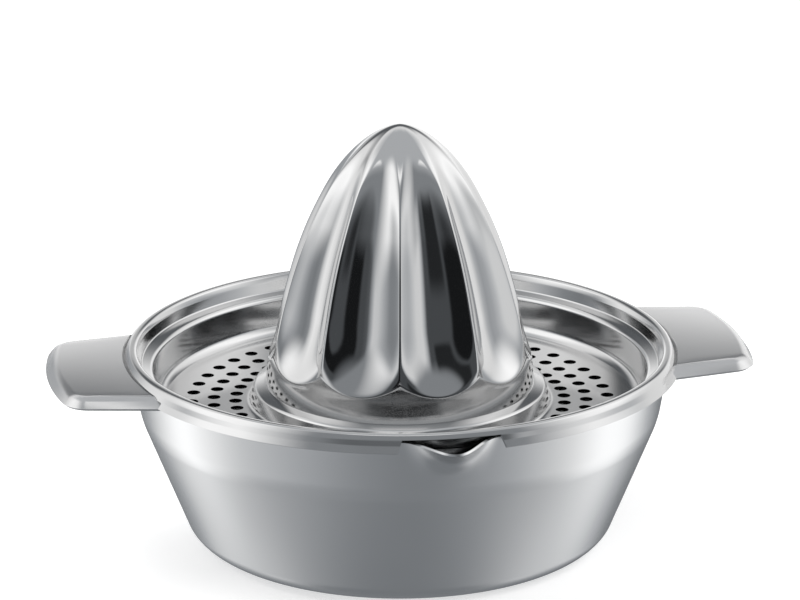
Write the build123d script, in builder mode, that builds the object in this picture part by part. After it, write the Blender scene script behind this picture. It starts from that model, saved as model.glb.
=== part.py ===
"""Hand citrus press: a spouted bowl, and a lift-out strainer with a fluted reamer cone and two wing handles."""
import math
import os

from build123d import *

os.makedirs("parts", exist_ok=True)

# Bowl: outside sizes of the drawn sheet, with the table at zero height
bowl_sheet = 0.8
rim_radius = 65.8
rim_height = 45.9
bend_set_in = 2.2
bend_drop = 13.9
bend_round = 20.0
foot_radius = 50.9
foot_corner = 7.5

# Pouring spout, pressed out of the bowl's rim towards -Y
spout_length = 9.4
spout_half_width = 15.5
spout_shoulder_share = 0.58
spout_shoulder_rise = 0.2
spout_shoulder_round = 8.0
spout_tip_round = 4.5
spout_depth = 11.0
spout_foot_half_width = 5.0
spout_foot_round = 1.2
spout_bite = 0.8

# Strainer sheet: bead, skirt and step, measured from the bowl's rim that they close round
strainer_sheet = 0.8
seat_clearance = 0.3
band_lean_angle = 17.8
bead_rise = 2.3
bead_top_width = 0.1
bead_inner_round = 0.5
neck_rise = 0.2
neck_round = 0.6
skirt_flare = 1.45
skirt_drop = 1.9
skirt_gap_margin = 3.2
skirt_end_gap = 0.5
step_drop = 1.9
step_round = 0.5
ledge_width = 3.05
ledge_fall = 0.6
ledge_inner_round = 0.5

# Strainer dish, its floor and the raised ring that carries the cone
dish_depth = 12.1
dish_draft = 0.6
dish_corner = 3.0
ring_height = 4.8
ring_draft = 1.1
ring_shoulder = 3.4
ring_foot_round = 1.0
ring_top_inner_round = 0.8
cone_seat_width = 3.4

# Drain holes in the floor, in staggered circles
hole_diameter = 3.2
hole_count = 48
hole_circle_step = 5.35
hole_margin = 3.5

# Reamer cone: a domed shell with scooped flutes
cone_sheet = 0.8
cone_radius = 32.4
cone_wall_height = 5.3
cone_height = 64.9
cone_belly_power = 1.6
cone_tip_power = 1.7
cone_turn_angle = 10.3
cone_outline_shares = (0.0, 0.12, 0.26, 0.4, 0.54, 0.68, 0.8, 0.89, 0.95, 0.985, 1.0)
flute_count = 10
flute_radius_share = 0.53
flute_depth_share = 0.145
flute_height_shares = (0.11, 0.22, 0.35, 0.48, 0.61, 0.74, 0.86, 0.97)
flute_fade_shares = (1.0, 1.0, 1.0, 1.0, 1.0, 0.9, 0.6, -0.3)
scoop_length = 7.9

# Wing handles
handle_sheet = 1.0
handle_length = 19.45
handle_root_half_width = 26.6
handle_tip_half_width = 23.0
handle_corner = 5.0
handle_rise = 0.6
handle_depth = 3.2
handle_draft_angle = 22.0
handle_inner_round = 0.6

# Cuts run past the faces that they open by this much
overrun = 1.0

# Bowl places that follow from the sizes above
bend_radius = rim_radius - bend_set_in
bend_height = rim_height - bend_drop

# Strainer places, from the skirt's hem inwards to the ring
band_lean = math.tan(math.radians(band_lean_angle))
band_wall = strainer_sheet / math.cos(math.radians(band_lean_angle))
band_radius = rim_radius - bowl_sheet - seat_clearance - band_wall
bead_round = bead_inner_round + strainer_sheet
bead_height = rim_height + bead_rise
bead_inner_radius = band_radius + bead_rise * band_lean
bead_width = bead_round * (1 + math.tan(math.radians(90 - band_lean_angle) / 2)) + bead_top_width
neck_radius = bead_inner_radius + bead_width
neck_height = rim_height + neck_rise
neck_top = neck_height + neck_round * math.tan(math.atan2(skirt_flare, skirt_drop) / 2)
hem_radius = neck_radius + skirt_flare
hem_height = neck_height - skirt_drop
step_radius = band_radius - step_drop * band_lean
step_height = rim_height - step_drop
ledge_radius = step_radius - ledge_width
ledge_height = step_height - ledge_fall
floor_radius = ledge_radius - dish_draft
floor_height = rim_height - dish_depth
ring_top_radius = cone_radius + ring_shoulder
ring_foot_radius = ring_top_radius + ring_draft
ring_bore_radius = cone_radius - cone_seat_width
seat_height = floor_height + ring_height
hole_room = floor_radius - dish_corner - ring_foot_radius - 2 * hole_margin
hole_circles = 1 + max(0, int(hole_room / hole_circle_step))

# Handle places
handle_reach = neck_radius + handle_length
handle_top = neck_height + handle_rise
handle_edge_round = handle_inner_round + handle_sheet


def spout_section(height, wall, half_width, rise, reach, rounds, inset):
    """The spout in plan: a rounded tip at -Y, and sides that flare out into the wall."""
    ends = math.sqrt(wall ** 2 - half_width ** 2) - spout_bite
    shoulder = (half_width * spout_shoulder_share, -wall - rise)
    with BuildSketch(Plane.XY.offset(height)) as section:
        with BuildLine():
            FilletPolyline((-half_width, -ends), (-shoulder[0], shoulder[1]), (0, -reach), shoulder,
                           (half_width, -ends), radius=rounds)
            Polyline((half_width, -ends), (0, half_width - ends), (-half_width, -ends))
        make_face()
        if inset:
            offset(amount=-inset)
    return section.sketch


def bowl_block(inset):
    """The bowl's solid form with its spout, drawn in by an inset."""
    lower_lean = math.atan2(bend_radius - foot_radius, bend_height)
    upper_lean = math.atan2(bend_set_in, bend_drop)
    lower_shift = inset / math.cos(lower_lean)
    upper_shift = inset / math.cos(upper_lean)
    bend_rise = (lower_shift - upper_shift) / (math.tan(lower_lean) - math.tan(upper_lean))
    foot = (foot_radius + inset * math.tan(lower_lean) - lower_shift, inset)
    bend = (bend_radius + bend_rise * math.tan(upper_lean) - upper_shift, bend_height + bend_rise)
    rim = (rim_radius - upper_shift, rim_height)
    root_wall = rim_radius - spout_depth * math.tan(upper_lean)
    mouth = spout_section(rim_height, rim_radius, spout_half_width, spout_shoulder_rise,
                          rim_radius + spout_length,
                          [spout_shoulder_round, spout_tip_round, spout_shoulder_round], inset)
    root = spout_section(rim_height - spout_depth, root_wall, spout_foot_half_width, -spout_bite, root_wall,
                         [spout_foot_round, spout_foot_round, spout_foot_round], inset)
    with BuildPart() as block:
        with BuildSketch(Plane.XZ):
            with BuildLine():
                FilletPolyline((0, inset), foot, bend, rim, radius=[foot_corner - inset, bend_round - inset])
                Polyline(rim, (0, rim_height), (0, inset))
            make_face()
        revolve(axis=Axis.Z)
        loft(sections=[mouth, root], ruled=True)
    return block.part


# Bowl: the solid form with its spout, less the same form drawn in by the sheet
bowl_hollow = bowl_block(bowl_sheet)
with BuildPart() as bowl:
    add(bowl_block(0))
    add(bowl_hollow, mode=Mode.SUBTRACT)
bowl.part.label = "bowl"
export_step(bowl.part, "parts/bowl.step")


def strainer_skirt_cut(half_width, turn):
    """A block that takes the skirt away below the neck, over a width, on the side that the turn points to."""
    with BuildPart() as cut:
        with BuildSketch(Plane.XY.offset(hem_height - overrun)):
            with Locations((hem_radius / 2, 0)):
                Rectangle(hem_radius + 2 * overrun, 2 * half_width)
            Circle(rim_radius, mode=Mode.SUBTRACT)
        extrude(amount=neck_top - hem_height + overrun)
    return cut.part.rotate(Axis.Z, turn)


# Strainer: one sheet from the skirt's hem over the bead and down the dish to the ring, turned about the axis
with BuildPart() as strainer:
    with BuildSketch(Plane.XZ):
        with BuildLine():
            FilletPolyline((hem_radius, hem_height), (neck_radius, neck_height), (neck_radius, bead_height),
                           (bead_inner_radius, bead_height), (step_radius, step_height),
                           (ledge_radius, ledge_height), (floor_radius, floor_height),
                           (ring_foot_radius, floor_height), (ring_top_radius, seat_height),
                           (ring_bore_radius, seat_height),
                           radius=[neck_round, bead_round, bead_round, step_round,
                                   ledge_inner_round + strainer_sheet, dish_corner, ring_foot_round,
                                   ring_top_inner_round + strainer_sheet])
            offset(amount=strainer_sheet, side=Side.LEFT)
        make_face()
    revolve(axis=Axis.Z)
    for circle in range(hole_circles):
        circle_radius = ring_foot_radius + hole_margin + circle * hole_circle_step
        stagger = circle % 2 * 180 / hole_count
        with Locations((0, 0, floor_height)):
            with PolarLocations(circle_radius, hole_count, start_angle=stagger):
                Hole(hole_diameter / 2, depth=strainer_sheet + overrun)
    add(strainer_skirt_cut(spout_half_width * spout_shoulder_share + skirt_gap_margin, -90), mode=Mode.SUBTRACT)
    for turn in (0, 180):
        add(strainer_skirt_cut(handle_root_half_width + skirt_end_gap, turn), mode=Mode.SUBTRACT)
strainer.part.label = "strainer"
export_step(strainer.part, "parts/strainer.step")


def dome_radius(share, inset):
    """The dome's radius at a share of its height above the wall."""
    return (cone_radius - inset) * (1 - share ** cone_belly_power) ** (1 / cone_tip_power)


def fluted_dome(inset):
    """The cone's solid form on its ring, drawn in by an inset, with the flutes scooped out."""
    wall_top = seat_height + cone_wall_height
    dome_height = cone_height - cone_wall_height
    tops = [(dome_radius(share, inset), wall_top + share * (dome_height - inset)) for share in cone_outline_shares]
    stations = []
    for height_share, fade_share in zip(flute_height_shares, flute_fade_shares):
        ridge = dome_radius(height_share, 0)
        radius = ridge * flute_radius_share
        centre = ridge * (1 - flute_depth_share * fade_share) + radius
        stations.append((centre, wall_top + height_share * dome_height, radius + inset))
    with BuildPart() as flute:
        for centre, height, radius in stations:
            with BuildSketch(Plane((centre, 0, height))):
                Circle(radius)
        loft()
        centre, height, radius = stations[0]
        with BuildSketch(Plane((centre, 0, height), x_dir=(1, 0, 0), z_dir=(0, -1, 0))):
            with BuildLine():
                EllipticalCenterArc((0, 0), radius, scoop_length + inset, start_angle=-90, arc_size=90)
                Polyline((radius, 0), (0, 0), (0, -scoop_length - inset))
            make_face()
        revolve(axis=Axis((centre, 0, 0), (0, 0, 1)))
    with BuildPart() as dome:
        with BuildSketch(Plane.XZ):
            with BuildLine():
                Line((cone_radius - inset, seat_height), tops[0])
                Spline(tops, tangents=[(0, 1), (-1, 0)])
                Polyline(tops[-1], (0, seat_height), (cone_radius - inset, seat_height))
            make_face()
        revolve(axis=Axis.Z)
        with PolarLocations(0, flute_count, start_angle=180 / flute_count - 90 - cone_turn_angle):
            add(flute.part, mode=Mode.SUBTRACT)
    return dome.part


# Reamer cone: the fluted dome, less the same form drawn in by the sheet
cone_hollow = fluted_dome(cone_sheet)
with BuildPart() as reamer_cone:
    add(fluted_dome(0))
    add(cone_hollow, mode=Mode.SUBTRACT)
reamer_cone.part.label = "reamer_cone"
export_step(reamer_cone.part, "parts/reamer_cone.step")


def wing_block(inset):
    """A handle's solid form out to the +X side, drawn in by an inset and run on past the bead."""
    root = math.sqrt(neck_radius ** 2 - handle_root_half_width ** 2) - overrun
    with BuildPart() as block:
        with BuildSketch(Plane.XY.offset(handle_top - handle_depth)) as plan:
            Circle(handle_reach)
            with BuildLine():
                Polyline((root, handle_root_half_width), (handle_reach, handle_tip_half_width),
                         (handle_reach, -handle_tip_half_width), (root, -handle_root_half_width), close=True)
            make_face(mode=Mode.INTERSECT)
            fillet(plan.vertices().group_by(Axis.X)[-1], radius=handle_corner)
            if inset:
                offset(amount=-inset)
        extrude(amount=handle_depth - inset, taper=handle_draft_angle)
        fillet(block.faces().sort_by(Axis.Z)[-1].edges(), radius=handle_edge_round - inset)
    return block.part


# Wing handles: the wing's form, less the same form drawn in by the sheet, trimmed to the bead
wing_hollow = wing_block(handle_sheet)
with BuildPart() as handle_right:
    add(wing_block(0))
    add(wing_hollow, mode=Mode.SUBTRACT)
    with Locations((0, 0, handle_top)):
        Cylinder(neck_radius, 2 * handle_depth + overrun, mode=Mode.SUBTRACT)
handle_right.part.label = "handle_right"
export_step(handle_right.part, "parts/handle_right.step")
with BuildPart() as handle_left:
    mirror(handle_right.part, about=Plane.YZ)
handle_left.part.label = "handle_left"
export_step(handle_left.part, "parts/handle_left.step")
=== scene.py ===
# %% [markdown]
# A citrus press in stainless steel, dressed for its portrait. The solids of the press come in as a fixed
# frame: a spouted bowl, and an insert of a strainer, a fluted cone and two wing handles. A mirror shows every
# flat facet of a mesh, so each piece is drawn again here as one smooth sheet of the same size and place.

# %% Load the frame
import math

import bmesh
import bpy
from mathutils import Matrix, Vector


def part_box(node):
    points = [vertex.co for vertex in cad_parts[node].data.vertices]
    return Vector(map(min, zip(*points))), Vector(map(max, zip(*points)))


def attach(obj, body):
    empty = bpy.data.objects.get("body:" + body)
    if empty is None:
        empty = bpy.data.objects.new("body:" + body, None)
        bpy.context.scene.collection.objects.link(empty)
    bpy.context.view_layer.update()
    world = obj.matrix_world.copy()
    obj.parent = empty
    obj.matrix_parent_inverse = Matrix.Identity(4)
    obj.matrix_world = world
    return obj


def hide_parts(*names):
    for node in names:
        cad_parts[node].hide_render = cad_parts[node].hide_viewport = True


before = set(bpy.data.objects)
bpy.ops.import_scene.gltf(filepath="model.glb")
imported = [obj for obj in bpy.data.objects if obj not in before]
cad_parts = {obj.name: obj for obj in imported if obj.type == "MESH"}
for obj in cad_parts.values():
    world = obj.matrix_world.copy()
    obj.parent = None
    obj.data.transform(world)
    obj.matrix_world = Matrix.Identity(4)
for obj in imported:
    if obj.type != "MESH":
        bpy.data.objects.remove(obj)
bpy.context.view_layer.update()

scene = bpy.context.scene

# %% [markdown]
# The sizes that the pieces share are read from the frame, so that they follow the solids. What a box can't
# tell, such as the round of a bend, is written once below, in millimetres times MM.

# %% Sizes
MM = 0.001
bowl_low, bowl_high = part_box("bowl")
strainer_low, strainer_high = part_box("strainer")
cone_low, cone_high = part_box("reamer_cone")
wing_low, wing_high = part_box("handle_right")

sheet = 0.8 * MM
rim_radius = bowl_high.x
rim_height = bowl_high.z
neck_radius = strainer_high.x
hem_radius = strainer_high.y
bead_height = strainer_high.z
floor_height = strainer_low.z + sheet
seat_height = cone_low.z
cone_radius = cone_high.x
print(f"rim {rim_radius / MM:.1f}, bead {neck_radius / MM:.1f}, cone {cone_radius / MM:.1f} mm in radius")

# %% [markdown]
# Most of the press is turned: a bent line, swung once round the upright axis. The line starts as a few
# vertices, one at each bend. A vertex bevel with a profile of one half rounds a bend to a true arc, and the
# arc's run along each side is its radius times the tangent of half the turn. An open sheet has no inside of
# its own, so the helper that thickens it is told a point that lies on its inner side.

# %% Helpers for turned sheet
AXIS = (0, 0, 1)
MERGE = 1e-7


def round_corner(bm, vert, radius, segments):
    """Rounds the corner at a vertex with two edges to an arc."""
    first, second = [edge.other_vert(vert).co - vert.co for edge in vert.link_edges]
    turn = math.pi - first.angle(second)
    bmesh.ops.bevel(bm, geom=[vert], offset=radius * math.tan(turn / 2), offset_type="OFFSET",
                    affect="VERTICES", segments=segments, profile=0.5, material=-1)


def bent_line(bm, points, rounds, segments):
    """Draws a line through (radius, height) points in a bmesh, and rounds its inner points."""
    corners = [bm.verts.new((radius, 0, height)) for radius, height in points]
    for start, end in zip(corners, corners[1:]):
        bm.edges.new((start, end))
    for corner, radius in zip(corners[1:-1], rounds):
        round_corner(bm, corner, radius, segments)


def swing_round(bm, steps):
    """Swings every edge in a bmesh once round the upright axis, and closes the seam and the pole."""
    bmesh.ops.spin(bm, geom=bm.verts[:] + bm.edges[:], cent=(0, 0, 0), axis=AXIS, dvec=(0, 0, 0),
                   angle=2 * math.pi, steps=steps, use_merge=True, use_duplicate=False)
    bmesh.ops.remove_doubles(bm, verts=bm.verts[:], dist=MERGE)


def thicken(bm, thickness, inside=(0, 0, 0)):
    """Turns the faces away from a point and gives the sheet its thickness on the side of that point."""
    bmesh.ops.remove_doubles(bm, verts=bm.verts[:], dist=MERGE)
    bmesh.ops.recalc_face_normals(bm, faces=bm.faces[:])
    ways = [(face, face.calc_center_median() - Vector(inside)) for face in bm.faces]
    if sum(face.calc_area() * face.normal.dot(way) for face, way in ways) < 0:
        bmesh.ops.reverse_faces(bm, faces=bm.faces[:])
    bmesh.ops.solidify(bm, geom=bm.faces[:], thickness=thickness)


def finish_piece(bm, name, body, node, sharp_angle=38):
    """Makes a smooth-shaded object of a bmesh, which stands for a node and rides on its body."""
    mesh = bpy.data.meshes.new(name)
    bm.to_mesh(mesh)
    bm.free()
    mesh.shade_smooth()
    mesh.set_sharp_from_angle(angle=math.radians(sharp_angle))
    piece = bpy.data.objects.new(name, mesh)
    scene.collection.objects.link(piece)
    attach(piece, body)
    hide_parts(node)
    mesh.calc_loop_triangles()
    print(f"{name}: {len(mesh.vertices)} vertices, {len(mesh.loop_triangles)} triangles")
    return piece


# %% [markdown]
# The bowl is one deep-drawn sheet: a flat base, a wall that leans out, and a straighter band under the rim.
# Its spout is pressed out of the band, so the band's rings are close together and their vertices are pushed
# out. Across the spout the push follows a bell, as free sheet does between a punch and the wall: it is widest
# and longest at the lip, dies away down the wall, and draws the lip down a little at its tip.

# %% Bowl
foot_radius = 50.9 * MM
foot_corner = 7.5 * MM
bend_radius = rim_radius - 2.2 * MM
bend_height = rim_height - 13.9 * MM
bend_round = 20 * MM
spout_depth = 11 * MM
spout_reach = -bowl_low.y
spout_half_width = 11.4 * MM
spout_root_half_width = 8 * MM
spout_ease = 2.2
spout_dip = 1.05 * MM
bowl_sheet = 0.55 * MM
bowl_bend_segments = 12
bowl_steps = 540
band_rings = 18


def press_spout(bm):
    """Pushes the band's vertices out to the spout."""
    root_height = rim_height - spout_depth
    for vert in bm.verts:
        if vert.co.z > root_height and vert.co.y < 0:
            share = (vert.co.z - root_height) / spout_depth
            half_width = spout_root_half_width + (spout_half_width - spout_root_half_width) * share
            bell = (1 + math.cos(math.pi * min(abs(vert.co.x) / half_width, 1))) / 2
            vert.co.y -= (spout_reach - rim_radius) * share ** spout_ease * bell
            vert.co.z -= spout_dip * share ** spout_ease * bell


bm = bmesh.new()
bent_line(bm, [(0, 0), (foot_radius, 0), (bend_radius, bend_height), (rim_radius, rim_height)],
          [foot_corner, bend_round], bowl_bend_segments)
band = max(bm.edges, key=lambda edge: min(vert.co.z for vert in edge.verts))
bmesh.ops.subdivide_edges(bm, edges=[band], cuts=band_rings)
swing_round(bm, bowl_steps)
press_spout(bm)
thicken(bm, bowl_sheet, inside=(0, 0, rim_height))
bowl = finish_piece(bm, "bowl_shell", "bowl", "bowl")

# %% [markdown]
# The strainer is one sheet too: a skirt that hides the bowl's rim, a rolled bead, a stepped dish wall, a floor
# and a raised ring for the cone, whose top falls away outside the cone. Two lines are turned here, one down to
# the floor's outer edge and one up from its inner edge. The floor between them is left open for the holes.

# %% Strainer, turned
lean = math.radians(17.8)
seat_gap = 0.3 * MM
band_radius = rim_radius - sheet - seat_gap - sheet / math.cos(lean)
bead_inner_radius = band_radius + (bead_height - rim_height) * math.tan(lean)
bead_outer_radius = neck_radius - 0.7 * MM
bead_outer_round = 0.9 * MM
bead_top_radius = bead_inner_radius - 0.15 * MM
bead_top_round = 0.9 * MM
bead_drop = 1.6 * MM
bead_wall_radius = bead_inner_radius - 0.75 * MM
bead_inner_round = 4 * MM
neck_height = rim_height + 1 * MM
neck_run = 0.06 * MM
hem_height = rim_height - 1.7 * MM
flare_height = rim_height - 0.2 * MM
flare_run = 0.62 * MM
skirt_round = 4 * MM
step_height = rim_height - 1.9 * MM
step_radius = band_radius - (rim_height - step_height) * math.tan(lean)
step_round = 0.5 * MM
ledge_radius = step_radius - 3.05 * MM
ledge_height = step_height - 0.6 * MM
ledge_round = 1.3 * MM
floor_radius = ledge_radius - 0.6 * MM
dish_corner = 3 * MM
field_outer_radius = floor_radius - dish_corner - 0.6 * MM
ring_top_radius = cone_radius + 3.4 * MM
ring_foot_radius = ring_top_radius + 1.1 * MM
ring_bore_radius = cone_radius - 3.4 * MM
ring_foot_round = 1 * MM
ring_top_round = 0.95 * MM
ring_seat_radius = cone_radius + 0.6 * MM
ring_seat_round = 4 * MM
ring_fall = 0.6 * MM
field_inner_radius = ring_foot_radius + 1.3 * MM
strainer_bend_segments = 7
strainer_steps = 384

bm = bmesh.new()
bent_line(bm, [(hem_radius, hem_height), (neck_radius + flare_run, flare_height),
               (neck_radius + neck_run, neck_height), (bead_outer_radius, bead_height),
               (bead_top_radius, bead_height), (bead_wall_radius, bead_height - bead_drop),
               (step_radius, step_height), (ledge_radius, ledge_height), (floor_radius, floor_height),
               (field_outer_radius, floor_height)],
          [skirt_round, skirt_round, bead_outer_round, bead_top_round, bead_inner_round, step_round,
           ledge_round, dish_corner], strainer_bend_segments)
bent_line(bm, [(field_inner_radius, floor_height), (ring_foot_radius, floor_height),
               (ring_top_radius, seat_height - ring_fall), (ring_seat_radius, seat_height),
               (ring_bore_radius, seat_height)],
          [ring_foot_round, ring_top_round, ring_seat_round], strainer_bend_segments)
swing_round(bm, strainer_steps)
print("strainer turned:", len(bm.faces), "faces")

# %% [markdown]
# The skirt is cut away at the spout, so that juice can pass, and where the wings meet the bead. A shear would
# cut it along planes, and so does this cell: two planes, one for each side of the gap, split the skirt's faces,
# and the faces between them go. At the spout the planes slant, and the gap is wider at the hem.

# %% Gaps in the skirt
spout_gap_half_width = 11.5 * MM
wing_gap_half_width = 27.1 * MM
gap_slant = math.radians(24)


def cut_skirt(bm, half_width, turn, slant, top):
    """Takes the skirt away below a height where the turn points, over a width that grows towards its hem."""
    ahead = Vector((math.cos(turn), math.sin(turn), 0))
    across = Vector((-math.sin(turn), math.cos(turn), 0))

    def off_side(point, side):
        return (point.dot(across) * side - half_width) - (neck_height - point.z) * math.tan(slant)

    def skirt_faces():
        centres = [(face, face.calc_center_median()) for face in bm.faces]
        return [face for face, centre in centres if centre.z < top
                and centre.xy.length > neck_radius - MERGE and centre.dot(ahead) > 0]

    for side in (-1, 1):
        faces = skirt_faces()
        edges = list({edge for face in faces for edge in face.edges})
        verts = list({vert for face in faces for vert in face.verts})
        normal = across * side * math.cos(slant) + Vector(AXIS) * math.sin(slant)
        bmesh.ops.bisect_plane(bm, geom=verts + edges + faces, dist=MERGE, plane_no=normal,
                               plane_co=across * half_width * side + Vector(AXIS) * neck_height)
    gone = [face for face in skirt_faces()
            if all(off_side(face.calc_center_median(), side) < 0 for side in (-1, 1))]
    print("skirt cut by", len(gone), "faces")
    bmesh.ops.delete(bm, geom=gone, context="FACES")


cut_skirt(bm, spout_gap_half_width, -math.pi / 2, gap_slant, neck_height)
for turn in (0, math.pi):
    cut_skirt(bm, wing_gap_half_width, turn, 0, flare_height)

# %% [markdown]
# The drain holes are punched in staggered circles. Boolean cuts would leave ragged faces in a polished floor,
# so the floor is filled once, between its two edges and the holes' circles. The sheet's thickness, which comes
# last, gives the holes their walls.

# %% Drain holes
hole_radius = 1.6 * MM
hole_count = 48
hole_first_radius = ring_foot_radius + 3.5 * MM
hole_circle_step = 5.35 * MM
hole_circles = 3
hole_segments = 24


def punch_holes(bm):
    """Draws the drain holes' circles on the floor's level."""
    for circle in range(hole_circles):
        radius = hole_first_radius + circle * hole_circle_step
        for number in range(hole_count):
            turn = 2 * math.pi * (number + circle % 2 / 2) / hole_count
            centre = (radius * math.cos(turn), radius * math.sin(turn), floor_height)
            bmesh.ops.create_circle(bm, cap_ends=False, radius=hole_radius, segments=hole_segments,
                                    matrix=Matrix.Translation(centre))


def fill_floor(bm):
    """Fills the floor between the dish, the ring and the holes."""
    level = [edge for edge in bm.edges if len(edge.link_faces) < 2
             and all(abs(vert.co.z - floor_height) < MERGE for vert in edge.verts)]
    bmesh.ops.triangle_fill(bm, use_beauty=True, use_dissolve=False, edges=level, normal=AXIS)
    print("floor filled round", len(level), "edges")


punch_holes(bm)
fill_floor(bm)
thicken(bm, sheet)
strainer = finish_piece(bm, "strainer_dish", "insert", "strainer")

# %% [markdown]
# The cone is a drawn dome with ten scooped flutes, on a short wall that flares a little to the ring. Cutting
# the flutes with ten cutters gives creases that a mirror shows as saw teeth. Here the form is written as a
# radius for each height and angle: the dome's, or where a round cutter would have gone, whichever is smaller,
# with the ridge between them rounded.

# %% Form of the cone
cone_top = cone_high.z
wall_top = seat_height + 5.3 * MM
dome_height = cone_top - wall_top
foot_flare = 0.5 * MM
belly_power = 1.6
tip_power = 1.7
flute_count = 10
spout_turn = -90
cone_twist = -10.3
flute_turn = math.radians(180 / flute_count + spout_turn + cone_twist)
flute_radius_share = 0.53
flute_depth_share = 0.145
flute_fade_share = 0.62
flute_fade = 1.3
scoop_length = 14 * MM


def dome_radius(height):
    """The dome's radius at a height, with the wall and its flare below it."""
    share = min(max((height - wall_top) / dome_height, 0), 1)
    flare = foot_flare * max((wall_top - height) / (wall_top - seat_height), 0)
    return cone_radius * (1 - share ** belly_power) ** (1 / tip_power) + flare


def flute_radius(angle, height, edge):
    """The radius of a flute's surface at an angle off its middle, where its scooped end is at a height."""
    dome = dome_radius(height)
    share = max((height - wall_top) / dome_height, 0)
    fade = 1 - max((share - flute_fade_share) / (1 - flute_fade_share), 0) ** 2 * flute_fade
    cutter = dome * flute_radius_share
    deepest = dome * flute_depth_share * fade
    centre = dome - deepest + cutter
    cut = centre * math.cos(angle) - math.sqrt(cutter ** 2 - (centre * math.sin(angle)) ** 2)
    rise = min((height - edge) / scoop_length, 1)
    if rise < 0:
        return dome - deepest * 2 * rise
    return dome - (dome - cut) * (1 - (1 - rise) ** 2)


def smooth_least(first, second, width):
    """The smaller of two numbers, with the corner between them rounded over a width."""
    overlap = max(width - abs(first - second), 0) / width
    return min(first, second) - overlap ** 2 * width / 4


print(f"dome {dome_height / MM:.1f} mm high on a wall of {(wall_top - seat_height) / MM:.1f} mm")

# %% [markdown]
# The dome is turned first, and then each vertex is drawn in to its flute. The rings are also lifted so that
# one of them runs along the flutes' scalloped ends, with others close to it, and the bright edge there is a
# clean line.

# %% Reamer cone
scallop_low = wall_top + 0.8 * MM
scallop_rise = 3.6 * MM
scallop_level = scallop_low + scallop_rise / 2
still_height = wall_top + 20 * MM
edge_blend = 0.35 * MM
ridge_blend_share = 0.075
edge_rings = (0, 0.12, 0.28, 0.5, 0.8, 1.2, 1.8, 2.6, 3.6, 4.8, 6.2, 7.8, 9.6)
upper_rings = 60
cone_steps = 480
cone_sharp_angle = 75


def cone_heights(level):
    """The rings' heights: close together at the scallops and towards the tip."""
    steps = [step * MM for step in edge_rings]
    below = [level - step for step in reversed(steps[1:]) if level - step > seat_height]
    above = [level + step for step in steps]
    start = above[-1]
    higher = [start + (cone_top - start) * (1 - (1 - ring / upper_rings) ** 2)
              for ring in range(1, upper_rings + 1)]
    return [seat_height] + below + above + higher


def shape_flutes(bm, level):
    """Lifts the rings to the scallops and draws each vertex in to its flute."""
    period = 2 * math.pi / flute_count
    for vert in bm.verts:
        turn = math.atan2(vert.co.y, vert.co.x)
        angle = (turn - flute_turn + period / 2) % period - period / 2
        edge = scallop_low + scallop_rise * (angle / period * 2) ** 2
        height = vert.co.z
        if height < level:
            height = seat_height + (height - seat_height) * (edge - seat_height) / (level - seat_height)
        elif height < still_height:
            height = still_height - (still_height - height) * (still_height - edge) / (still_height - level)
        if vert.co.xy.length > MERGE:
            dome = dome_radius(height)
            rise = min(max((height - edge) / scoop_length, 0), 1)
            blend = edge_blend * (1 - rise) + ridge_blend_share * dome * rise
            radius = smooth_least(dome, flute_radius(angle, height, edge), blend)
            vert.co.xy = (radius * math.cos(turn), radius * math.sin(turn))
        vert.co.z = height


bm = bmesh.new()
line = [bm.verts.new((dome_radius(height), 0, height)) for height in cone_heights(scallop_level)]
for start, end in zip(line, line[1:]):
    bm.edges.new((start, end))
bmesh.ops.rotate(bm, verts=bm.verts[:], cent=(0, 0, 0), matrix=Matrix.Rotation(flute_turn, 3, "Z"))
swing_round(bm, cone_steps)
shape_flutes(bm, scallop_level)
thicken(bm, sheet)
cone = finish_piece(bm, "fluted_cone", "insert", "reamer_cone", cone_sharp_angle)

# %% [markdown]
# A wing handle is a pressed plate whose outer edges are turned down. Its outline is drawn flat, with the outer
# corners rounded by a vertex bevel. An inset with a depth raises the top and leans the sides in one step, and
# an edge bevel rounds the fold.

# %% Folded plate of a wing
wing_root_half_width = 26.6 * MM
wing_tip_half_width = 23 * MM
wing_corner = 6.5 * MM
wing_corner_segments = 10
wing_draft = math.radians(35)
wing_fold = 2.6 * MM
wing_fold_segments = 6
wing_lift = 0.5 * MM
wing_reach = wing_high.x
wing_top = wing_high.z
wing_depth = wing_high.z - wing_low.z - wing_lift
wing_run_in = 4 * MM
wing_arc_points = 24
wing_arc_share = 0.75


def wing_arc(bm, radius, half_width):
    """Vertices along an arc about the axis, from one side of the wing to the other, with room at its ends."""
    half_turn = math.asin(half_width / radius)
    inner = [wing_arc_share * (2 * point / wing_arc_points - 1) for point in range(wing_arc_points + 1)]
    turns = [half_turn * share for share in [-1] + inner + [1]]
    level = wing_top - wing_depth
    return [bm.verts.new((radius * math.cos(turn), radius * math.sin(turn), level)) for turn in turns]


def fold_plate(bm):
    """Draws the wing's outline from inside the bead to its tip, and raises it to a plate with leaning sides."""
    inner = wing_arc(bm, neck_radius - wing_run_in, wing_root_half_width)
    outer = wing_arc(bm, wing_reach, wing_tip_half_width)
    plan = bm.faces.new(inner[::-1] + outer)
    bm.normal_update()
    if plan.normal.z < 0:
        plan.normal_flip()
    for corner in (outer[0], outer[-1]):
        round_corner(bm, corner, wing_corner, wing_corner_segments)
    top = max(bm.faces, key=lambda face: face.calc_area())
    bmesh.ops.inset_region(bm, faces=[top], thickness=wing_depth * math.tan(wing_draft), depth=wing_depth,
                           use_even_offset=True, use_boundary=True)
    fold = [edge for edge in bm.edges if all(abs(vert.co.z - wing_top) < MERGE for vert in edge.verts)]
    bmesh.ops.bevel(bm, geom=fold, offset=wing_fold * math.tan((math.pi / 2 - wing_draft) / 2),
                    offset_type="OFFSET", affect="EDGES", segments=wing_fold_segments, profile=0.5, material=-1)


print(f"wing {(wing_reach - neck_radius) / MM:.1f} mm long, {wing_depth / MM:.1f} mm deep")

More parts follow.
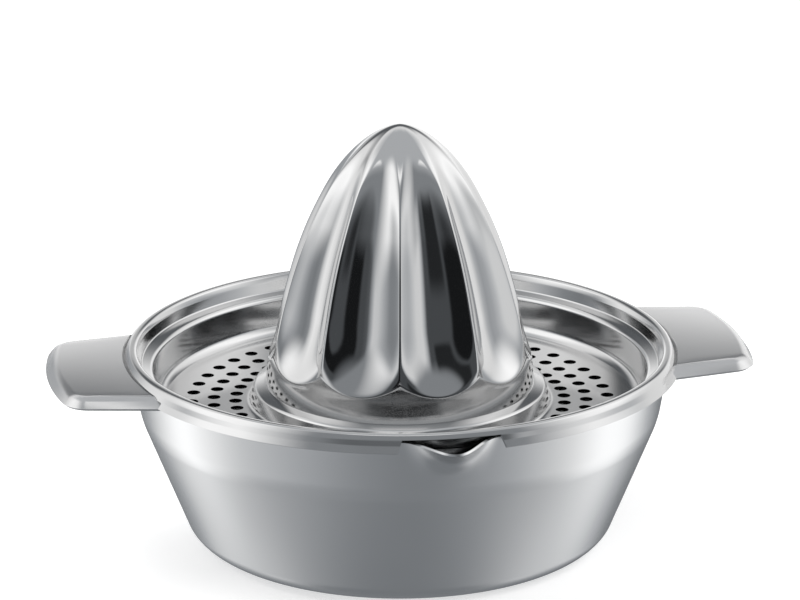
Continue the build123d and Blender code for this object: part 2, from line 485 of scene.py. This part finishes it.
# %% [markdown]
# The plate's top is a little domed, so that the light changes softly across it as it does on pressed sheet: it
# is cut into strips, whose heights fall towards both sides. The plate's end is then brought back to the bead's
# own radius, and its edge is turned down there, which leaves a narrow groove between the wing and the bead. The
# second wing is the first, turned half round.

# %% Wing handles
wing_crown = 0.45 * MM
wing_strip = 3 * MM
wing_groove = 0.9 * MM
wing_groove_depth = 2 * MM
wing_sheet = 1 * MM


def crown_wing(bm):
    """Cuts the plate into strips and lowers its top towards both sides."""
    half_width = max(vert.co.y for vert in bm.verts)
    strips = int(half_width / wing_strip)
    for strip in range(-strips, strips + 1):
        bmesh.ops.bisect_plane(bm, geom=bm.verts[:] + bm.edges[:] + bm.faces[:], dist=MERGE,
                               plane_co=(0, strip * wing_strip, 0), plane_no=(0, 1, 0))
    for vert in bm.verts:
        height_share = (vert.co.z - wing_top + wing_depth) / wing_depth
        vert.co.z -= wing_crown * (vert.co.y / half_width) ** 2 * height_share


def seat_wing(bm):
    """Brings the plate's end back to the bead's radius and turns its top edge down into the groove."""
    for vert in bm.verts:
        if vert.co.xy.length < neck_radius + MERGE:
            vert.co.x = math.sqrt(neck_radius ** 2 - vert.co.y ** 2)
    folded_up = [face for face in bm.faces
                 if all(abs(vert.co.xy.length - neck_radius) < 2 * MERGE for vert in face.verts)]
    bmesh.ops.delete(bm, geom=folded_up, context="FACES")
    inner_edge = [edge for edge in bm.edges if edge.is_boundary and all(
        vert.co.xy.length < neck_radius + MERGE and vert.co.z > wing_top - wing_crown for vert in edge.verts)]
    turned_down = bmesh.ops.extrude_edge_only(bm, edges=inner_edge)["geom"]
    for vert in {vert for edge in inner_edge for vert in edge.verts}:
        vert.co.xy *= (neck_radius + wing_groove) / neck_radius
    bmesh.ops.translate(bm, verts=[item for item in turned_down if isinstance(item, bmesh.types.BMVert)],
                        vec=(0, 0, -wing_groove_depth))


def make_wing(name, node, turn):
    """One wing handle, turned round the axis to its side."""
    bm = bmesh.new()
    fold_plate(bm)
    crown_wing(bm)
    seat_wing(bm)
    bmesh.ops.rotate(bm, verts=bm.verts[:], cent=(0, 0, 0), matrix=Matrix.Rotation(turn, 3, "Z"))
    thicken(bm, wing_sheet)
    return finish_piece(bm, name, "insert", node)


wings = [make_wing("wing_right", "handle_right", 0), make_wing("wing_left", "handle_left", math.pi)]

# %% [markdown]
# A finish is a small program of shader nodes. Written node by node it is hard to read, so two classes stand
# between: a field is a number that changes over the surface, and sums of fields add Math nodes, while a finish
# holds a material's nodes and adds any other kind with one method.

# %% Helpers for finishes


def paired(operation):
    """An operator's two forms, with the field on the left and on the right."""
    return (lambda field, other: field.math(operation, field, other),
            lambda field, other: field.math(operation, other, field))


class Field:
    """A number on the surface. Sums and products of fields add Math nodes."""

    def __init__(self, finish, socket):
        self.finish = finish
        self.socket = socket

    def math(self, operation, first, second):
        return self.finish.node("ShaderNodeMath", {"operation": operation}, {0: first, 1: second})

    __add__, __radd__ = paired("ADD")
    __sub__, __rsub__ = paired("SUBTRACT")
    __mul__, __rmul__ = paired("MULTIPLY")
    __truediv__, __rtruediv__ = paired("DIVIDE")
    __pow__, __rpow__ = paired("POWER")


class Finish:
    """The nodes of a new material, or of a tree that is there already."""

    def __init__(self, name, tree=None):
        if tree is None:
            self.material = bpy.data.materials.new(name)
            self.material.use_nodes = True
            tree = self.material.node_tree
        self.tree = tree
        self.tree.nodes.clear()

    def node(self, kind, settings, inputs, output=0):
        """Adds a node: its settings first, then its sockets' values or links. Gives one output as a field."""
        made = self.tree.nodes.new(kind)
        for key, value in settings.items():
            if key == "stops":
                self.set_stops(made.color_ramp, value)
            else:
                setattr(made, key, value)
        for key, value in inputs.items():
            if isinstance(value, Field):
                self.tree.links.new(value.socket, made.inputs[key])
            else:
                made.inputs[key].default_value = value
        return None if output is None else Field(self, made.outputs[output])

    def set_stops(self, ramp, stops):
        """Sets a ramp's stops from pairs of a place and a colour."""
        for place, colour in stops[2:]:
            ramp.elements.new(place)
        for element, (place, colour) in zip(ramp.elements, stops):
            element.position = place
            element.color = colour

    def parts(self, vector):
        """A vector's three parts."""
        return [self.node("ShaderNodeSeparateXYZ", {}, {0: vector}, axis) for axis in "XYZ"]

    def blend(self, factor, first, second):
        """Mixes two colours."""
        return self.node("ShaderNodeMix", {"data_type": "RGBA"}, {"Factor": factor, 6: first, 7: second}, 2)

    def step(self, value, low, high):
        """Rises smoothly from zero to one between two values."""
        return self.node("ShaderNodeMapRange", {"interpolation_type": "SMOOTHSTEP"},
                         {"Value": value, "From Min": low, "From Max": high})

    def ray(self, kind):
        """One for rays of a kind, and zero for the others."""
        return self.node("ShaderNodeLightPath", {}, {}, f"Is {kind} Ray")


# %% [markdown]
# Steel has hardly any colour of its own. What it shows is its surroundings, blurred by the finish. Each finish
# is a metal with a roughness that changes along fine polishing lines and in faint clouds, as wiped steel does.
# A picture of scratches would have to be wrapped round every bend, so the lines are noise that is stretched
# along the polishing: round the axis on turned pieces, and straight across the wings.

# %% Steel
brush_round, brush_out, brush_up = 5, 5000, 7000
brush_across = (9000, 60, 900)
brush_detail, brush_blur = 3.0, 0.6
cloud_scale, cloud_detail = 45.0, 4.0
noise_middle = 0.5
pole_radius = 1e-5
haze_roughness = 0.6
hole_shade_colour = (0.03, 0.03, 0.03)


def steel(name, colour, tint, roughness, cloud, line, line_height, along=False, painted_shade=None, haze=0):
    """A steel finish. The lines run round the upright axis, or along Y. Between two heights it can be painted
    near black, as painted shade. The haze is the share of a second, broad gleam."""
    finish = Finish(name)
    place = finish.node("ShaderNodeTexCoord", {}, {}, "Object")
    x, y, z = finish.parts(place)
    if along:
        stretched = [part * scale for part, scale in zip((x, y, z), brush_across)]
    else:
        radius = (x * x + y * y) ** 0.5 + pole_radius
        stretched = [x / radius * brush_round + radius * brush_out, y / radius * brush_round, z * brush_up]
    where = finish.node("ShaderNodeCombineXYZ", {}, dict(enumerate(stretched)))
    lines = finish.node("ShaderNodeTexNoise", {}, {"Vector": where, "Scale": 1.0, "Detail": brush_detail,
                                                   "Roughness": brush_blur})
    clouds = finish.node("ShaderNodeTexNoise", {}, {"Vector": place, "Scale": cloud_scale,
                                                    "Detail": cloud_detail})
    hue = finish.blend(clouds, (*colour, 1), (*tint, 1))
    # Painted shade: between the two heights the colour is painted near black, so the drain holes' walls read
    # dark.
    if painted_shade:
        low, high, soft = painted_shade
        painted_shade_mask = finish.step(z, low, low + soft) * finish.step(z, high, high - soft)
        hue = finish.blend(painted_shade_mask, hue, (*hole_shade_colour, 1))
    rough = roughness + (clouds - noise_middle) * cloud + (lines - noise_middle) * line
    relief = finish.node("ShaderNodeBump", {}, {"Strength": 1.0, "Distance": line_height, "Height": lines})
    gleam, broad = [
        finish.node("ShaderNodeBsdfPrincipled", {}, {"Base Color": hue, "Metallic": 1.0, "Roughness": width,
                                                     "Normal": relief}) for width in (rough, haze_roughness)]
    both = finish.node("ShaderNodeMixShader", {}, {0: haze, 1: gleam, 2: broad})
    finish.node("ShaderNodeOutputMaterial", {}, {"Surface": both}, None)
    print("finish", name, len(finish.tree.nodes), "nodes")
    return finish.material


# %% [markdown]
# The cone is buffed to a mirror and the strainer to a soft gleam. The bowl has a satin brushed round it, and
# the wings a satin with a broad haze over it, which keeps them light from every side. The drain holes get
# painted shade: the strainer is painted near black over the height of its floor's sheet, which is the holes'
# walls, so the holes read dark.

# %% Finishes
# Painted shade: the heights of the holes' walls, which are painted near black so the holes read dark.
hole_shade_margin = 0.03 * sheet
hole_shade_fade = 0.02 * sheet
hole_shade_heights = (floor_height - sheet + hole_shade_margin, floor_height - hole_shade_margin, hole_shade_fade)
bowl.data.materials.append(steel(
    "satin_bowl", colour=(0.64, 0.645, 0.65), tint=(0.68, 0.685, 0.69), roughness=0.24, cloud=0.03, line=0.06,
    line_height=6e-7))
strainer.data.materials.append(steel(
    "polished_strainer", colour=(0.61, 0.61, 0.61), tint=(0.65, 0.65, 0.65), roughness=0.12, cloud=0.04,
    line=0.04, line_height=2e-7, painted_shade=hole_shade_heights))
cone.data.materials.append(steel(
    "mirror_cone", colour=(0.62, 0.62, 0.62), tint=(0.66, 0.66, 0.66), roughness=0.07, cloud=0.04, line=0.02,
    line_height=1e-7))
satin_wing = steel(
    "satin_wing", colour=(0.66, 0.66, 0.66), tint=(0.70, 0.70, 0.70), roughness=0.15, cloud=0.03, line=0.04,
    line_height=2e-7, along=True, haze=0.28)
for wing in wings:
    wing.data.materials.append(satin_wing)

# %% [markdown]
# The press stands on a plain pale floor in a white room. The floor takes the press's shadow from the lamps, and
# to the camera it also glows a little, which brings it up to white. It is laid like a product studio's clear
# table: reflections pass through it to the tent.

# %% Floor
floor_size = 6.0
floor_tone = 0.8
floor_glow = 0.5

bm = bmesh.new()
bmesh.ops.create_grid(bm, x_segments=2, y_segments=2, size=floor_size / 2)
floor_mesh = bpy.data.meshes.new("floor")
bm.to_mesh(floor_mesh)
bm.free()
floor = bpy.data.objects.new("floor", floor_mesh)
scene.collection.objects.link(floor)
floor.visible_glossy = False
paint = Finish("floor_paint")
seen = paint.ray("Camera") + paint.ray("Transmission")
matt = paint.node("ShaderNodeBsdfDiffuse", {}, {"Color": (floor_tone, floor_tone, floor_tone, 1)})
glow = paint.node("ShaderNodeEmission", {}, {"Strength": seen * floor_glow})
both = paint.node("ShaderNodeAddShader", {}, {0: matt, 1: glow})
paint.node("ShaderNodeOutputMaterial", {}, {"Surface": both}, None)
floor_mesh.materials.append(paint.material)
print(f"floor {floor_size:.0f} m wide")

# %% [markdown]
# A mirror in a white room is white. What draws the press's shape is what a studio hangs round it, and here that
# is a tent that only reflections see. Its tones are given in three rings, by the turn from the front in
# degrees, with the left below zero: the ground, which the leaning bowl shows, the wall and the canopy. The
# front is dark and both sides are bright. The ground dims further down and again straight below, and straight
# above is an even grey. A dark cloth hangs at the back, for the wings and the strainer. In front hang two black
# flags, which draw the dark streaks in the flutes, and a bright panel above them. Each of these three is given
# by its two turns, its two rises and its tone.

# %% Tones of the tent
cool = (0.93, 1.0, 1.08)
ground_tones = ((-180, 0.2), (-160, 0.4), (-145, 0.95), (-125, 1.7), (-105, 1.2), (-90, 0.84), (-60, 0.6),
                (-30, 0.37), (-10, 0.29), (10, 0.29), (45, 0.58), (75, 1.05), (95, 1.6), (112, 1.45),
                (130, 0.6), (148, 0.2), (180, 0.2))
wall_tones = ((-180, 1.3), (-168, 0.45), (-152, 0.45), (-136, 1.05), (-124, 1.2), (-116, 0.9), (-108, 0.36),
              (-98, 0.28), (-88, 0.34), (-77, 0.55), (-66, 0.8), (-58, 0.85), (-53, 0.5), (-47, 0.13),
              (-40, 0.09), (36, 0.09), (41, 0.6), (46, 0.92), (56, 0.9), (66, 0.68), (76, 0.53), (88, 0.47),
              (98, 0.62), (110, 1.0), (180, 1.3))
canopy_tones = ((-180, 1.0), (-125, 1.1), (-102, 1.5), (-80, 1.4), (-50, 0.32), (45, 0.32), (76, 1.35),
                (95, 1.5), (125, 1.1), (180, 1.0))
deep_tone, deep_share = 0.3, 0.62
nadir_tone = 0.26
cloth_tone = 0.14
zenith_tone = 0.6
left_flag = ((-33, -4), (-0.16, 0.46), 0.012)
right_flag = ((-5, 30), (0.18, 0.6), 0.025)
bright_panel = ((-48, 28), (0.82, 0.96), 1.3)
panels = (left_flag, right_flag, bright_panel)
panel_edge = 6
panel_fade = 0.12


def grey(tone):
    """A grey, cool where it is dark and neutral where it is bright."""
    share = min(tone, 1)
    return (*(tone * (part + (1 - part) * share) for part in cool), 1)


def round_share(degrees):
    """A turn from the front as a share of the way round, from zero at the back to one."""
    return degrees / 360 + 0.5


print("tent of", len(ground_tones) + len(wall_tones) + len(canopy_tones), "tones and", len(panels), "panels")

# %% [markdown]
# The tent is the world's own shader, read by direction: how far round, and how far up from -1 to 1. Each part
# is blended over the last between two rises, so that no edge is hard. The camera sees plain white instead, as
# it would through anything clear, and the matt floor is lit by half of that.

# %% Tent
room_light = 0.5
wall_rises = (-0.25, -0.07)
deep_rises = (-0.56, -0.76)
nadir_rises = (-0.84, -0.96)
canopy_rises = (0.4, 0.66)
canopy_sag = 0.26
front_depths = (0.5, 0.75)
cloth_depths = (0.55, 0.8)
cloth_rises = (0.22, 0.42)
cloth_top_rises = (0.62, 0.72)
zenith_rises = (0.72, 0.9)


def panel(turns, rises):
    """A panel in the tent between two turns and two rises, with soft edges, as a mask."""
    first, last = [round_share(degrees) for degrees in turns]
    edge = panel_edge / 360
    low, high = rises
    fade = min(panel_fade, (high - low) / 2)
    return (tent.step(turn, first, first + edge) * tent.step(turn, last, last - edge)
            * tent.step(up, low, low + fade) * tent.step(up, high, high - fade))


scene.world = bpy.data.worlds.new("tent")
scene.world.use_nodes = True
tent = Finish("tent", scene.world.node_tree)
right, back, up = tent.parts(tent.node("ShaderNodeTexCoord", {}, {}, "Generated"))
turn = right.math("ARCTAN2", right, 0 - back) / (2 * math.pi) + 0.5
ground, wall, canopy = [
    tent.node("ShaderNodeValToRGB", {"stops": [(round_share(degrees), grey(tone)) for degrees, tone in tones]},
              {0: turn})
    for tones in (ground_tones, wall_tones, canopy_tones)]
ground = tent.blend(tent.step(up, *deep_rises) * deep_share, ground, grey(deep_tone))
ground = tent.blend(tent.step(up, *nadir_rises), ground, grey(nadir_tone))
inside = tent.blend(tent.step(up, *wall_rises), ground, wall)
aside = 1 - tent.step(0 - back, *front_depths)
inside = tent.blend(tent.step(up + aside * canopy_sag, *canopy_rises), inside, canopy)
cloth = tent.step(back, *cloth_depths) * tent.step(up, *cloth_rises) * (1 - tent.step(up, *cloth_top_rises))
inside = tent.blend(cloth, inside, grey(cloth_tone))
inside = tent.blend(tent.step(up, *zenith_rises), inside, grey(zenith_tone))
for turns, rises, tone in panels:
    inside = tent.blend(panel(turns, rises), inside, grey(tone))
camera_ray, glossy_ray, clear_ray = [tent.ray(kind) for kind in ("Camera", "Glossy", "Transmission")]
shown = tent.blend(glossy_ray, (1, 1, 1, 1), inside)
strength = room_light + (camera_ray + glossy_ray + clear_ray) * (1 - room_light)
backdrop = tent.node("ShaderNodeBackground", {}, {"Color": shown, "Strength": strength})
tent.node("ShaderNodeOutputWorld", {}, {"Surface": backdrop}, None)
print("tent", len(tent.tree.nodes), "nodes")

# %% [markdown]
# Two wide lamps, a key from behind on the left and a fill from the front on the right, lay the press's soft
# shadow on the floor. The mirror doesn't show them, because the tent already holds what it should show.

# %% Lamps
lamp_aim = Vector((0, 0, 0.04))
lamp_size = 0.8


def soft_lamp(name, place, power):
    """A square soft lamp that looks at the press."""
    light = bpy.data.lights.new(name, "AREA")
    light.size = lamp_size
    light.energy = power
    lamp = bpy.data.objects.new(name, light)
    lamp.location = place
    lamp.rotation_euler = (lamp_aim - Vector(place)).to_track_quat("-Z", "Y").to_euler()
    lamp.visible_glossy = False
    scene.collection.objects.link(lamp)
    print(name, "of", power, "W")


soft_lamp("key_lamp", place=(-0.7, 0.3, 1.1), power=9)
soft_lamp("fill_lamp", place=(0.8, -0.3, 0.9), power=6)

# %% [markdown]
# The camera stands where the photograph's stood: in front, a little to the left of the spout, and looking down
# at under eighteen degrees through a long lens.

# %% Camera
camera_turn = math.radians(-10.3)
camera_rise = math.radians(17.72)
camera_distance = 0.9
camera_aim = Vector((0, 0, 59.1 * MM))
frame_pixels = 800
pixels_per_tangent = 3692.7
sensor_width = 36

away = Vector((math.sin(camera_turn) * math.cos(camera_rise), -math.cos(camera_turn) * math.cos(camera_rise),
               math.sin(camera_rise)))
camera = bpy.data.objects.new("camera", bpy.data.cameras.new("camera"))
camera.data.sensor_width = sensor_width
camera.data.lens = sensor_width * pixels_per_tangent / frame_pixels
camera.location = camera_aim + away * camera_distance
camera.rotation_euler = (-away).to_track_quat("-Z", "Y").to_euler()
scene.collection.objects.link(camera)
scene.camera = camera
scene.view_settings.view_transform = "Standard"
print(f"camera lens {camera.data.lens:.1f} mm at", tuple(round(v, 3) for v in camera.location))
